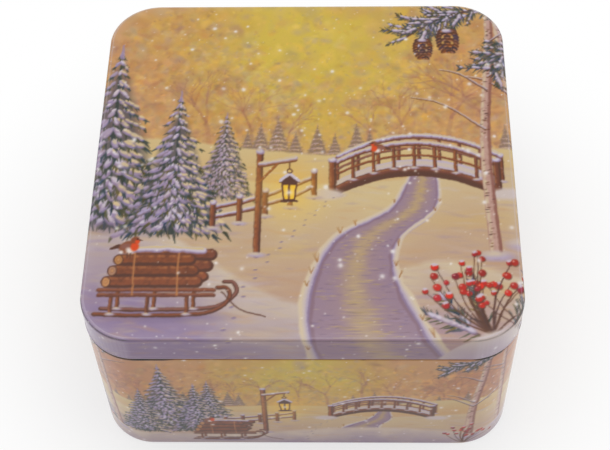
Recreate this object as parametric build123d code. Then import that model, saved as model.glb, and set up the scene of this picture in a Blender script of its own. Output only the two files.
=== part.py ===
"""Square tinplate cookie tin with rounded corners: a slip-on lid over a stepped body with a seamed-in base.

Frame: millimetres, +Z up, the front face towards -Y, the origin at the middle of the footprint on the floor.

Each of the three sheets is drawn as the cross-section of one strip of tinplate, laid along its middle line as
flats and bends, and then carried round the rounded square. In a cross-section, u runs inwards from the outer
face of the lid's skirt and z runs up.
"""

import os
from math import cos, radians, sin

from build123d import *

# ---------------------------------------------------------------- driving dimensions
LID_WIDTH = 190.0  # outside of the lid's skirt, both ways
CORNER_RADIUS = 23.5  # outside of the lid's skirt, seen from above
TOTAL_HEIGHT = 97.0  # floor to lid top, lid on
SHEET = 0.3  # tinplate thickness

LID_EDGE_RADIUS = 1.5  # outside, from the lid's top to its skirt
SKIRT_HEIGHT = 16.0  # lid top to the bottom of its hem
LID_HEM_DIAMETER = 2.2  # outside of the inward curl along the skirt's edge
LID_HEM_SWEEP = 285.0  # degrees of curl

LID_OVERHANG = 0.3  # how far the skirt stands proud of the body wall
HEM_TO_SHOULDER = 0.15  # rest gap under the lid's hem
RIM_TO_LID = 0.2  # gap over the body's rim
NECK_CLEARANCE = 0.35  # lid's hem to the body's neck
SHOULDER_OUTER_BEND = 0.8  # middle-line radius
SHOULDER_INNER_BEND = 0.6
RIM_CURL_DIAMETER = 2.2
RIM_CURL_SWEEP = 285.0

ROLL_OUTER_BEND = 1.0  # bottom roll, middle-line radii and flats
ROLL_FLAT = 1.2
ROLL_INNER_BEND = 0.6
ROLL_RETURN = 1.2
SEAM_CLEARANCE = 0.02  # between the body's roll and the base's flange

BASE_RECESS = 3.4  # floor to the underside of the base panel's border
BASE_FLANGE_BEND = 0.8
BASE_HOOK = 0.9  # flat at the flange's foot, lying in the roll
BASE_BORDER = 7.0  # flat border outside the raised field
BASE_FIELD_RISE = 0.9  # stiffening step of the base panel
BASE_STEP_BEND = 0.8
BASE_STEP_SLOPE = 40.0  # degrees

SIDE_SEAM_WIDTH = 4.0  # lock seam inside the back wall
SIDE_SEAM_LAYERS = 3  # sheets folded on top of the wall
SIDE_SEAM_END_GAP = 1.5  # seam stops this far from the base and the shoulder
SIDE_SEAM_EDGE_BEND = 0.4  # rounding of the folded edges
SIDE_SEAM_GROOVE = 0.15  # width and depth of the joint line outside

# ---------------------------------------------------------------- derived places
HALF_WIDTH = LID_WIDTH / 2
HALF_SHEET = SHEET / 2
WALL_FACE = LID_OVERHANG  # u of the body wall's outer face
WALL_MIDDLE = WALL_FACE + HALF_SHEET
NECK_MIDDLE = LID_HEM_DIAMETER + NECK_CLEARANCE + HALF_SHEET
HEM_BOTTOM = TOTAL_HEIGHT - SKIRT_HEIGHT
SHOULDER_TOP = HEM_BOTTOM - HEM_TO_SHOULDER
SHOULDER_MIDDLE = SHOULDER_TOP - HALF_SHEET
RIM_TOP = TOTAL_HEIGHT - SHEET - RIM_TO_LID
BASE_MIDDLE = BASE_RECESS + HALF_SHEET
FLANGE_MIDDLE = WALL_MIDDLE + SHEET + SEAM_CLEARANCE
ROLL_CENTRE_Z = HALF_SHEET + ROLL_OUTER_BEND
HOOK_BEND = ROLL_OUTER_BEND - SHEET - SEAM_CLEARANCE

INWARD, UP, OUTWARD, DOWN = 0.0, 90.0, 180.0, 270.0


# ---------------------------------------------------------------- sheet cross-sections
def flat(length):
    return ("flat", length, 0.0)


def left(radius, degrees):
    return ("bend", radius, degrees)


def right(radius, degrees):
    return ("bend", radius, -degrees)


def shifted(point, heading, along, across):
    """The point moved along its heading, and to the left of it by across."""
    a = radians(heading)
    return (
        point[0] + along * cos(a) - across * sin(a),
        point[1] + along * sin(a) + across * cos(a),
    )


def advance(point, heading, move, share=1.0):
    """Where the middle line is, and how it heads, after a share of one flat or bend."""
    kind, size, turn = move
    if kind == "flat":
        return shifted(point, heading, size * share, 0.0), heading
    side = size if turn > 0 else -size
    centre = shifted(point, heading, 0.0, side)
    new_heading = heading + turn * share
    return shifted(centre, new_heading, 0.0, -side), new_heading


def cross_section(start, heading, moves):
    """The closed outline, in u and z, of one sheet whose middle line makes these moves."""
    sides = {HALF_SHEET: [], -HALF_SHEET: []}
    point = start
    for move in moves:
        middle, middle_heading = advance(point, heading, move, 0.5)
        end, end_heading = advance(point, heading, move)
        for across, edges in sides.items():
            first = shifted(point, heading, 0.0, across)
            last = shifted(end, end_heading, 0.0, across)
            if move[0] == "flat":
                edges.append(Line(first, last))
            else:
                halfway = shifted(middle, middle_heading, 0.0, across)
                edges.append(ThreePointArc(first, halfway, last))
        point, heading = end, end_heading
    left_side, right_side = sides[HALF_SHEET], sides[-HALF_SHEET]
    caps = [Line(left_side[0] @ 0, right_side[0] @ 0), Line(left_side[-1] @ 1, right_side[-1] @ 1)]
    return make_face(left_side + right_side + caps)


def ring(section):
    """Carries a cross-section round the rounded square that the lid's skirt makes in plan."""
    path = RectangleRounded(LID_WIDTH, LID_WIDTH, CORNER_RADIUS).wire()
    # the section stands across the path's start, with u pointing to the inside and z up
    inwards = Vector(0, 0, 1).cross(path % 0)
    if inwards.dot(path @ 0) > 0:
        inwards = -inwards
    stand = Plane(origin=path @ 0, x_dir=inwards, z_dir=inwards.cross(Vector(0, 0, 1)))
    return sweep(stand * section, path=path)


def plate(inset, middle_z):
    """A flat rounded square of sheet whose edge is inset from the skirt's outer face."""
    width = LID_WIDTH - 2 * inset
    outline = RectangleRounded(width, width, CORNER_RADIUS - inset)
    return Pos(0, 0, middle_z - HALF_SHEET) * extrude(outline, amount=SHEET)


# ---------------------------------------------------------------- the three sheets
def make_lid():
    """Drawn in one piece: flat top, rounded edge, skirt and an inward curled hem."""
    top_middle = TOTAL_HEIGHT - HALF_SHEET
    edge_bend = LID_EDGE_RADIUS - HALF_SHEET
    hem_bend = LID_HEM_DIAMETER / 2 - HALF_SHEET
    skirt_flat = SKIRT_HEIGHT - LID_EDGE_RADIUS - LID_HEM_DIAMETER / 2
    section = cross_section(
        (LID_EDGE_RADIUS, top_middle),
        OUTWARD,
        [left(edge_bend, 90), flat(skirt_flat), left(hem_bend, LID_HEM_SWEEP)],
    )
    return ring(section) + plate(LID_EDGE_RADIUS, top_middle)


def make_body_wall():
    """One strip bent round and lock-seamed at the back: bottom roll, wall, shoulder, neck and curled rim."""
    rim_bend = RIM_CURL_DIAMETER / 2 - HALF_SHEET
    roll_inner_u = WALL_MIDDLE + ROLL_OUTER_BEND + ROLL_FLAT + ROLL_INNER_BEND
    roll_free_z = HALF_SHEET + ROLL_INNER_BEND + ROLL_RETURN
    wall_flat = SHOULDER_MIDDLE - SHOULDER_OUTER_BEND - ROLL_CENTRE_Z
    shoulder_flat = NECK_MIDDLE - WALL_MIDDLE - SHOULDER_OUTER_BEND - SHOULDER_INNER_BEND
    neck_flat = RIM_TOP - RIM_CURL_DIAMETER / 2 - SHOULDER_MIDDLE - SHOULDER_INNER_BEND
    section = cross_section(
        (roll_inner_u, roll_free_z),
        DOWN,
        [
            flat(ROLL_RETURN),
            right(ROLL_INNER_BEND, 90),
            flat(ROLL_FLAT),
            right(ROLL_OUTER_BEND, 90),
            flat(wall_flat),
            right(SHOULDER_OUTER_BEND, 90),
            flat(shoulder_flat),
            left(SHOULDER_INNER_BEND, 90),
            flat(neck_flat),
            right(rim_bend, RIM_CURL_SWEEP),
        ],
    )
    return ring(section) + side_seam() - side_seam_groove()


def side_seam():
    """The folded lock seam, a strip of stacked sheet lying inside the back wall."""
    foot = BASE_RECESS + SHEET + BASE_FIELD_RISE + SIDE_SEAM_END_GAP
    head = SHOULDER_MIDDLE - HALF_SHEET - SHOULDER_OUTER_BEND - SIDE_SEAM_END_GAP
    thickness = (SIDE_SEAM_LAYERS + 0.5) * SHEET  # half a sheet of it lies within the wall
    inner_face = HALF_WIDTH - WALL_MIDDLE - thickness
    strip = Pos(0, inner_face, foot) * Box(
        SIDE_SEAM_WIDTH, thickness, head - foot, align=(Align.CENTER, Align.MIN, Align.MIN)
    )
    folded_edges = strip.edges().filter_by(Axis.Z).group_by(Axis.Y)[0]
    return fillet(folded_edges, SIDE_SEAM_EDGE_BEND)


def side_seam_groove():
    """The fine joint line that the lock seam leaves on the outside of the back wall."""
    foot = ROLL_CENTRE_Z
    head = SHOULDER_MIDDLE - SHOULDER_OUTER_BEND
    face_y = HALF_WIDTH - WALL_FACE
    return Pos(SIDE_SEAM_WIDTH / 2, face_y, foot) * Box(
        SIDE_SEAM_GROOVE,
        2 * SIDE_SEAM_GROOVE,
        head - foot,
        align=(Align.CENTER, Align.CENTER, Align.MIN),
    )


def make_base_panel():
    """Pressed base: raised field, stiffening step, flat border and a flange hooked into the body's roll."""
    border_start = FLANGE_MIDDLE + BASE_FLANGE_BEND + BASE_BORDER
    # an S of two equal bends joins the field to the border
    step_bends_drop = 2 * BASE_STEP_BEND * (1 - cos(radians(BASE_STEP_SLOPE)))
    slope_flat = (BASE_FIELD_RISE - step_bends_drop) / sin(radians(BASE_STEP_SLOPE))
    step_run = 2 * BASE_STEP_BEND * sin(radians(BASE_STEP_SLOPE)) + slope_flat * cos(radians(BASE_STEP_SLOPE))
    field_edge = border_start + step_run
    field_middle = BASE_MIDDLE + BASE_FIELD_RISE
    flange_flat = BASE_MIDDLE - BASE_FLANGE_BEND - ROLL_CENTRE_Z
    section = cross_section(
        (field_edge, field_middle),
        OUTWARD,
        [
            left(BASE_STEP_BEND, BASE_STEP_SLOPE),
            flat(slope_flat),
            right(BASE_STEP_BEND, BASE_STEP_SLOPE),
            flat(BASE_BORDER),
            left(BASE_FLANGE_BEND, 90),
            flat(flange_flat),
            left(HOOK_BEND, 90),
            flat(BASE_HOOK),
        ],
    )
    return ring(section) + plate(field_edge, field_middle)


def main():
    os.makedirs("parts", exist_ok=True)
    sheets = {"lid": make_lid(), "body_wall": make_body_wall(), "base_panel": make_base_panel()}
    for name, solid in sheets.items():
        export_step(solid, f"parts/{name}.step")
        size = solid.bounding_box().size
        print(f"{name}: {len(solid.solids())} solid, {solid.volume:.1f} mm3, {size.X:.2f} x {size.Y:.2f} x {size.Z:.2f}")


main()
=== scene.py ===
"""The looks of the square cookie tin: its printed lid and wall, its bare tinplate, the light and the camera.

Lengths are in millimetres while the pieces are worked out, and become metres as their meshes are made.
The winter scene printed on the tin is painted here too, touch by touch, and is carried by vertex colours.
"""

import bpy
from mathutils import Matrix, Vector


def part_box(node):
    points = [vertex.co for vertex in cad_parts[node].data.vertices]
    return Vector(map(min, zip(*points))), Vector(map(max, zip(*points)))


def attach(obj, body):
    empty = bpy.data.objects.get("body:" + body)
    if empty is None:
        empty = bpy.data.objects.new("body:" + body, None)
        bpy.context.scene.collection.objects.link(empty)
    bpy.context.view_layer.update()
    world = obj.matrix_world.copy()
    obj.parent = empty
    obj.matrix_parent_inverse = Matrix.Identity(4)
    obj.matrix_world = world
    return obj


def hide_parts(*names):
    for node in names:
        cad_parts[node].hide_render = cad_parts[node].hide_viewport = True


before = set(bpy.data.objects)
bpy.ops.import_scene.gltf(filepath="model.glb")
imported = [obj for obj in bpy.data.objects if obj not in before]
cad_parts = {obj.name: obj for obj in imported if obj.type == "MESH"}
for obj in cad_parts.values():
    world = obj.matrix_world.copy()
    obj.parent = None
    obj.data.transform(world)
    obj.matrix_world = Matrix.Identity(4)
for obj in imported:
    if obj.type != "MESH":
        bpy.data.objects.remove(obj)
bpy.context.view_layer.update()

import copy
import math

import bpy
import numpy as np
from mathutils import Matrix, Vector

MM = 0.001
TAU = 2 * np.pi

# ------------------------------------------------------------------ the tin's sizes, as its sheets are made
(_, _, LID_BOTTOM), (HALF_WIDTH, _, TOP) = np.array(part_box("lid")) / MM
WALL_HALF_WIDTH, _, RIM_TOP = np.array(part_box("body_wall")[1]) / MM
CORNER_RADIUS = 23.5
SHEET = 0.3
HALF_SHEET = SHEET / 2
LID_EDGE_RADIUS = 1.5
LID_HEM, HEM_SWEEP = 2.2, 285.0
HEM_JOG_BEND, HEM_JOG_ANGLE = 0.8, 30.0  # the skirt steps out a little where the hem begins
WALL_INSET = HALF_WIDTH - WALL_HALF_WIDTH
RIM_CURL, RIM_SWEEP = 2.2, 285.0
HEM_TO_NECK, HEM_TO_SHOULDER = 0.35, 0.15  # gaps between the lid's hem and the body
NECK_MIDDLE = LID_HEM + HEM_TO_NECK + HALF_SHEET
NECK_BEND, SHOULDER_BEND = 0.6, 0.8
SHOULDER_TOP = LID_BOTTOM - HEM_TO_SHOULDER
ROLL_BEND, ROLL_FLAT, ROLL_INNER_BEND, ROLL_RETURN = 1.0, 1.2, 0.6, 1.2
SEAM_WIDTH, SEAM_LAYERS, SEAM_END_GAP, SEAM_BEND = 4.0, 3, 1.5, 0.4
SEAM_OVERLAP = 0.1  # how far the seam's strip reaches into the wall's sheet
SEAM_GROOVE = 0.15  # depth of the joint line outside, and half of its width
SEAM_MARGIN = 0.8  # unprinted strip on either side of the joint line
BASE_FIELD_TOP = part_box("base_panel")[1][2] / MM
STRAIGHT = HALF_WIDTH - CORNER_RADIUS  # half of the straight stretch of a side
WALL_ROUND = 8 * STRAIGHT + TAU * (CORNER_RADIUS - WALL_INSET)  # once round the wall
WALL_PICTURE = 717.8  # length of the wall's picture, a little more than once round

# ------------------------------------------------------------------ the print's fineness, wear and dirt
PRINT_PITCH = 0.5  # spacing of the vertices that carry the printed picture
PAINT_FINENESS = 3.5  # picture points per millimetre while it is painted
HIGHLIGHT_COLOUR = (0.84, 0.80, 0.85)  # the colour of the painted highlight and sheen that the print fades to along the lid's edge, at the hem and in the skirt's corners
CREASE_LINE = 1.45  # how far round the lid's edge the painted shade line and the chips lie
HEM_SHADOW, HEM_SHADOW_MORE = 0.7, 0.5  # how far down the painted shadow under the hem reaches, and how much further where it is deepest
# the painted shadow's colours under the hem: shaded warm print, and near black where it is deepest
HEM_SHADOW_WARM, HEM_SHADOW_DARK = (0.54, 0.33, 0.15), (0.10, 0.08, 0.08)
DEEP_SHADOW_SEED, HEM_SHADOW_SEED = 60, 4  # the first puts the deepest painted shadow at the front left corner
SOILED = 2.0  # the rub value that means dirt in a joint, over the bare metal too; values up to 1 are the lid's painted crease shade
BARE = 3.0  # the wear value that leaves no print


# ------------------------------------------------------------------ palette (display colours, 0 to 1)
GOLD = (0.80, 0.71, 0.36)
AMBER = (0.78, 0.65, 0.37)
PEACH = (0.77, 0.61, 0.44)
ROSE = (0.72, 0.53, 0.42)
DUSK = (0.55, 0.39, 0.35)
CREAM = (0.81, 0.73, 0.56)
SNOW = (0.80, 0.76, 0.80)
LILAC = (0.62, 0.55, 0.65)
SHADE = (0.46, 0.40, 0.50)
PINE = (0.22, 0.25, 0.23)
MOSS = (0.33, 0.33, 0.26)
BARK = (0.52, 0.32, 0.22)
DARK_BARK = (0.35, 0.23, 0.18)
PALE_WOOD = (0.70, 0.50, 0.34)
LAMP = (0.93, 0.76, 0.30)
RED = (0.66, 0.17, 0.13)
BREAST = (0.80, 0.33, 0.14)
WHITE = (0.93, 0.91, 0.90)


def mix(first, second, share):
    return np.asarray(first) * (1 - share) + np.asarray(second) * share


def ease(share):
    """Rises from 0 to 1 as share does, gently at both ends."""
    share = np.clip(share, 0, 1)
    return share * share * (3 - 2 * share)


def toward(angle, length=1.0):
    return length * np.array((math.cos(angle), math.sin(angle)))


def walked(line):
    """The length of a line up to each of its points."""
    return np.concatenate([[0], np.cumsum(np.linalg.norm(np.diff(line, axis=0), axis=1))])


def curve(points, steps=8):
    """A smooth line through a few points (Catmull-Rom)."""
    p = np.asarray(points, float)
    p = np.vstack([2 * p[0] - p[1], p, 2 * p[-1] - p[-2]])
    t = np.linspace(0, 1, steps, endpoint=False)[:, None]
    parts = [
        0.5 * (2 * b + (c - a) * t + (2 * a - 5 * b + 4 * c - d) * t**2 + (3 * b - a - 3 * c + d) * t**3)
        for a, b, c, d in zip(p, p[1:], p[2:], p[3:])
    ]
    return np.vstack(parts + [p[-2:-1]])


def to_segment(x, y, a, b):
    """Where on the segment from a to b each place is nearest, from 0 to 1, and how far it is from there."""
    ux, uy = b - a
    along = np.clip(((x - a[0]) * ux + (y - a[1]) * uy) / (ux * ux + uy * uy + 1e-9), 0, 1)
    return along, np.hypot(x - a[0] - along * ux, y - a[1] - along * uy)


class Canvas:
    """A painting in millimetres, x to the right and y up, stored bottom row first.

    A placed canvas is the same painting, measured from a motif's own place in its own unit. How soft the edge
    of a stroke or a shape is stays in millimetres.
    """

    def __init__(self, left, right, bottom, top, fineness, seed):
        self.left, self.bottom, self.fineness = left, bottom, fineness
        self.rows = int(round((top - bottom) * fineness))
        self.columns = int(round((right - left) * fineness))
        self.x = left + (np.arange(self.columns) + 0.5) / fineness
        self.y = bottom + (np.arange(self.rows) + 0.5) / fineness
        self.rng = np.random.default_rng(seed)
        self.rgb = np.zeros((self.rows, self.columns, 3))
        self.grain = self.noise(1.6, 3)
        self.origin, self.unit = np.zeros(2), np.ones(2)

    def placed(self, x, y, unit, facing=1):
        """This canvas measured from a place, in another unit, and mirrored where facing is -1."""
        there = copy.copy(self)
        there.origin = self.true((x, y))
        there.unit = self.unit * (unit * facing, unit)
        return there

    def true(self, points):
        return self.origin + self.unit * np.asarray(points, float)

    def noise(self, cell, layers=4):
        """Smooth noise from 0 to 1 with lumps of about one cell, and finer ones in each further layer."""
        total = weight = 0.0
        for layer in range(layers):
            share = 0.55**layer
            size = max(cell * self.fineness / 2**layer, 1.5)
            grid = self.rng.random((int(self.rows / size) + 2, int(self.columns / size) + 2))
            i, j = np.arange(self.rows) / size, np.arange(self.columns) / size
            i0, j0 = i.astype(int), j.astype(int)
            fi, fj = ease(i - i0)[:, None], ease(j - j0)
            across = grid[:, j0] * (1 - fj) + grid[:, j0 + 1] * fj
            total = total + share * (across[i0] * (1 - fi) + across[i0 + 1] * fi)
            weight += share
        return total / weight

    def spread(self, low, high):
        return self.rng.uniform(low, high)

    def tint(self, colour, amount=0.05):
        """The colour, a little lighter or darker and warmer or cooler."""
        light, warm = self.rng.normal(0, amount, 2)
        return np.clip(np.array(colour) * (1 + light) + np.array([0.4, 0.1, -0.5]) * warm, 0, 1)

    def window(self, low, high):
        """The slices of rows and columns that a box covers, empty where it is off the canvas."""

        def index(place, start, more=0):
            return max(int((place - start) * self.fineness) + more, 0)

        return (
            slice(index(low[1], self.bottom), index(high[1], self.bottom, 2)),
            slice(index(low[0], self.left), index(high[0], self.left, 2)),
        )

    def under(self, x, y):
        """The colour at a place in millimetres, or None off the canvas."""
        area = self.rgb[self.window((x, y), (x, y))]
        return area[0, 0] if area.size else None

    def around(self, points, margin):
        """The part of the canvas within a margin of some points, with the x and y of its places."""
        area = self.window(points.min(0) - margin, points.max(0) + margin)
        return area, self.x[area[1]][None, :], self.y[area[0]][:, None]

    def lay(self, cover, colour, area=...):
        """Lays colour over an area, as thick as cover says, from 0 to 1."""
        patch = self.rgb[area]
        patch += (np.asarray(colour) - patch) * cover[..., None]

    def dab(self, x, y, length, width, angle, colour, alpha=1.0, soft=0.5, fall=1.0):
        """One touch of an elliptical brush, its edge faded over the soft share of its radius."""
        place, size = self.true((x, y)), self.unit[1]
        area, px, py = self.around(place[None], size * max(length, width) / 2)
        dx, dy = (px - place[0]) * np.sign(self.unit[0]), py - place[1]
        c, s = math.cos(angle), math.sin(angle)
        r = np.hypot((dx * c + dy * s) / (size * length / 2), (dy * c - dx * s) / (size * width / 2))
        cover = np.clip((1 - r) / soft, 0, 1)
        self.lay((cover if fall == 1 else cover**fall) * alpha, colour, area)

    def stroke(self, points, widths, colour, alpha=1.0, soft=0.3, dry=0.0):
        """A brush line through the points, with a width for each. A dry one lets the grain through."""
        points = self.true(points)
        widths = np.broadcast_to(self.unit[1] * np.asarray(widths, float), len(points))
        area, x, y = self.around(points, widths.max() / 2 + soft)
        cover = 0.0
        for a, b, wide, next_wide in zip(points, points[1:], widths, widths[1:]):
            along, gap = to_segment(x, y, a, b)
            cover = np.maximum(cover, 0.5 - (gap - (wide + (next_wide - wide) * along) / 2) / soft)
        if dry:
            alpha = alpha * np.clip(1.5 - 2 * dry * self.grain[area], 0, 1)
        self.lay(np.clip(cover, 0, 1) * alpha, colour, area)

    def coats(self, line, size, *coats, widths=1.0):
        """Strokes along one line, each moved by (right, up) and as wide as its share of the size."""
        for right, up, share, *paint in coats:
            self.stroke(line + size * np.array((right, up)), size * share * widths, *paint)

    def shape(self, points, colour, alpha=1.0, soft=0.3):
        """A filled outline, straight between its points."""
        points = self.true(points)
        area, x, y = self.around(points, soft)
        edge, inside = np.inf, False
        for a, b in zip(points, np.roll(points, -1, 0)):
            edge = np.minimum(edge, to_segment(x, y, a, b)[1])
            if a[1] != b[1]:
                crossing = a[0] + (y - a[1]) * (b[0] - a[0]) / (b[1] - a[1])
                inside = inside ^ ((y < a[1]) != (y < b[1])) & (x < crossing)
        self.lay(np.clip(0.5 + np.where(inside, edge, -edge) / soft, 0, 1) * alpha, colour, area)

    def at(self, rows, columns):
        """The colours at some rows and columns, and between them, by bilinear weights."""
        rows, columns = np.clip(rows, 0, self.rows - 1.001), np.clip(columns, 0, self.columns - 1.001)
        i, j = rows.astype(int), columns.astype(int)
        fi, fj = (rows - i)[..., None], (columns - j)[..., None]
        upper = self.rgb[i, j] * (1 - fj) + self.rgb[i, j + 1] * fj
        lower = self.rgb[i + 1, j] * (1 - fj) + self.rgb[i + 1, j + 1] * fj
        return upper * (1 - fi) + lower * fi

    def colours(self, spots):
        """The colours at some places, given as x and y in millimetres."""
        columns, rows = ((spots - (self.left, self.bottom)) * self.fineness - 0.5).T
        return self.at(rows, columns)


# ------------------------------------------------------------------ what the pictures are made of
BRIGHT_AIR = 0.645  # green share of the sky near the glow, where only light touches go
BRIGHT_TONES, DEEP_TONES = (PEACH, AMBER, GOLD, CREAM, LILAC), (ROSE, AMBER, DUSK, CREAM, PEACH)
TONE_ODDS = (0.3, 0.24, 0.12, 0.14, 0.2)  # how often each of them is taken
MIDDLE_TONE = 0.6  # the level that more contrast leaves as it is
EVENING = ((AMBER, 0.2, 0.75), (PEACH, 0.7, 1.35), (ROSE, 1.3, 2.4))  # colours away from a glow: from, to
HEAPED = mix(SNOW, CREAM, 0.6)


def sky(art, horizon, top, glows, glow_y, reach):
    """Golden evening air: brightest at the glows, then amber, peach and dusky rose away from them."""
    x, y = art.x[None, :], art.y[:, None]
    aside = np.min([np.abs(x - glow_x) for glow_x in glows], axis=0)
    away = np.hypot(aside / reach, (y - glow_y) / (1.15 * reach)) + 0.9 * (art.noise(reach * 0.5) - 0.5)
    art.rgb[:] = GOLD
    for colour, start, end in EVENING:
        art.lay(ease((away - start) / (end - start)), colour)
    haze = np.clip(1 - np.abs(y - horizon) / (0.22 * (top - horizon)), 0, 1)
    art.lay(0.5 * haze, mix(PEACH, CREAM, 0.45))


def leafy_haze(art, left, right, base, height, count, size):
    """Distant woods as thousands of small touches, warm against the light."""
    for _ in range(count):
        x = art.spread(left, right)
        edge = min(x - left, right - x) / (0.5 * (right - left))
        y = base + height * art.rng.random() ** 1.4 * (0.4 + 0.6 * edge)
        under = art.under(x, y)
        if under is None:
            continue
        tones = BRIGHT_TONES if under[1] > BRIGHT_AIR else DEEP_TONES
        tone = tones[art.rng.choice(len(tones), p=TONE_ODDS)]
        colour = mix(under, tone, art.spread(0.15, 0.5))
        long = size * art.spread(0.5, 1.5)
        art.dab(x, y, long, long * art.spread(0.4, 0.8), art.spread(0, TAU), art.tint(colour, 0.04), 0.6, 0.8)


def bare_tree(art, x, y, height, colour, alpha):
    """A leafless tree, its limbs forking upwards until they are twigs."""

    def limb(foot, angle, length, width, forks):
        bend = art.spread(-0.25, 0.25)
        middle = foot + toward(angle, 0.5 * length)
        tip = middle + toward(angle + bend, 0.5 * length)
        art.stroke([foot, middle, tip], width * np.array((1, 0.85, 0.7)), art.tint(colour), alpha, 0.5)
        if forks:
            for _ in range(3 if forks > 2 else 2):
                turned = angle + bend + art.spread(-0.75, 0.75)
                limb(tip, turned, length * art.spread(0.6, 0.82), 0.6 * width, forks - 1)

    limb(np.array((x, y)), TAU / 4, 0.3 * height, 0.045 * height, 4)


def hill(art, points, lit, shade, depth, soft):
    """A snow slope below a ridge line, lit along its crest and shaded lower down."""
    ridge = curve(points, 12)
    below = np.interp(art.x, *ridge.T)[None, :] - art.y[:, None]
    across = (art.x >= ridge[0, 0]) & (art.x <= ridge[-1, 0])
    share = np.clip(below / depth + 0.5 * (art.noise(0.45 * depth, 3) - 0.5), 0, 1)[..., None]
    art.lay(np.clip(0.5 + below / soft, 0, 1) * across, mix(lit, shade, share))


def fir(art, x, y, height, haze=0.0, light=1):
    """A snow-laden fir. Light is -1 or 1 for the side the glow is on; haze fades it into the distance."""
    art = art.placed(x, y, height)
    dark, green, snow, shade, lit = (
        mix(colour, PEACH, haze * share)
        for colour, share in ((PINE, 1), (MOSS, 1), (SNOW, 0.8), (LILAC, 0.8), (CREAM, 0.5))
    )
    sunny, shaded = mix(snow, lit, 0.8), mix(snow, shade, 0.6)
    art.dab(-0.16 * light, 0.01, 1.05, 0.17, 0, SHADE, 0.55 * (1 - haze), 0.9)
    art.shape([(-0.25, 0.03), (0, 0.92), (0.25, 0.03)], mix(dark, SHADE, 0.45), 0.8, 0.06 * height)
    art.stroke([(0, -0.03), (0, 0.9)], (0.035, 0.01), dark, 0.9, 0.4)
    tiers = int(np.clip(height / 2.2, 7, 17))
    for up in np.arange(tiers) / (tiers - 1):
        half = 0.33 * (1 - up) ** 0.85 + 0.012
        size = 0.035 + 0.045 * (1 - up)
        boughs = max(int(round(12 * (1 - up))), 3)
        for bough in art.rng.permutation(boughs):
            side = 2 * (bough + 0.5 + art.spread(-0.3, 0.3)) / boughs - 1
            tip = half * side * art.spread(0.8, 1.12)
            drop = (0.03 + 0.05 * (1 - up)) * (0.7 + 0.5 * abs(side))
            root = np.array((0.35 * tip, 0.05 + 0.93 * up - 0.15 * drop))
            along = np.array((tip, 0.05 + 0.93 * up - drop * art.spread(0.8, 1.2))) - root
            slope = np.arctan2(along[1], abs(along[0]) + 0.3 * size) * np.sign(along[0])
            for _ in range(7):
                place = root + along * art.spread(0.1, 1.12)
                angle = -TAU / 4 + 0.8 * side + art.spread(-0.6, 0.6)
                end = place + toward(angle, size * art.spread(0.4, 0.85))
                tone = dark if art.rng.random() < 0.6 else green
                art.stroke([place, end], (0.26 * size, 0.05 * size), art.tint(tone, 0.08), 0.85)
            for _ in range(5):
                u, v = root + along * art.spread(0.0, 1.02)
                facing = side * light + art.spread(-0.3, 0.3)
                tone = sunny if facing > 0.3 else shaded if facing < -0.3 else snow
                wide = size * art.spread(0.6, 1.05)
                art.dab(u, v + 0.04 * size, wide, 0.52 * wide, slope, art.tint(shade, 0.03), 0.75)
                tone = art.tint(tone, 0.025)
                art.dab(u, v + 0.19 * size, 0.85 * wide, 0.38 * wide, slope, tone, 0.95, 0.45)
    art.stroke([(0, 0.95), (0, 1.03)], (0.018, 0.008), shade, 0.8)


def mound(art, x, y, width):
    """A low heap of snow, such as drifts against a foot."""
    art = art.placed(x, y, width)
    art.dab(0.1, -0.06, 1.15, 0.3, 0, LILAC, 0.55, 0.9)
    art.dab(0, 0, 1, 0.36, 0, mix(LILAC, SNOW, 0.55), 0.95, 0.6)
    art.dab(-0.06, 0.06, 0.8, 0.24, 0, HEAPED, 0.9, 0.8)


def birch(art, x, y, height, width, lean):
    """A birch trunk with peeling bark, dark marks and a few fine twigs."""
    art = art.placed(x, y, width)
    tall, lean = height / width, lean / width
    bend = art.spread(-0.02, 0.02) * tall
    line = curve([(0, 0), (0.3 * lean + bend, 0.35 * tall), (0.75 * lean, 0.7 * tall), (lean, tall)])
    art.coats(
        line, 1,
        (0, 0, 1, DUSK, 0.95, 0.4),
        (-0.13, 0, 0.72, mix(ROSE, SNOW, 0.45), 0.95, 0.7, 0.5),
        (-0.28, 0, 0.3, mix(CREAM, SNOW, 0.3), 0.9, 0.6, 0.8),
        widths=np.linspace(1, 0.6, len(line)),
    )
    for _ in range(int(2.6 * tall)):
        u, v = line[art.rng.integers(1, len(line) - 1)]
        u, v = u + art.spread(-0.35, 0.3), v + art.spread(-1, 1) * tall / len(line) / 2
        art.dab(u, v, art.spread(0.2, 0.55), art.spread(0.07, 0.16), 0.15, art.tint(DARK_BARK), 0.8)
    mound(art, 0, -0.1, 3.4)
    for _ in range(7):
        foot, side = line[art.rng.integers(len(line) // 3, len(line))], art.rng.choice((-1, 1))
        reach = np.array([(0, 0), (0.45 * side, 0.35), (0.8 * side, 0.45)])
        twig = curve(foot + reach * tall * art.spread(0.12, 0.3), 5)
        art.stroke(twig, np.linspace(0.2, 0.05, len(twig)), art.tint(DARK_BARK), 0.8)
        art.stroke(twig + (0, 0.1), np.linspace(0.14, 0.05, len(twig)), SNOW, 0.75)


def plank(art, points, width, colour=BARK, snow=0.0):
    """A weathered board or pole, darker below, with a lit upper edge and perhaps snow lying on it."""
    line = np.asarray(points, float)
    art.coats(
        line, width,
        (0, 0, 1, mix(colour, DARK_BARK, 0.75), 0.97, 0.35),
        (0, 0.14, 0.66, art.tint(colour, 0.04), 0.95, 0.35, 0.45),
        (0, 0.3, 0.22, mix(colour, PALE_WOOD, 0.8), 0.75, 0.3, 0.9),
    )
    if snow:
        bumps = curve(line, 6) + (0, 0.5 * width + 0.3 * snow)
        thick = art.rng.uniform(0.7, 1.25, len(bumps))
        art.coats(
            bumps, snow,
            (0, -0.22, 1, LILAC, 0.95, 0.35),
            (0, 0, 0.78, art.tint(SNOW, 0.02), 0.97, 0.35),
            (-0.1, 0.16, 0.3, CREAM, 0.9, 0.4),
            widths=thick,
        )


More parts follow.
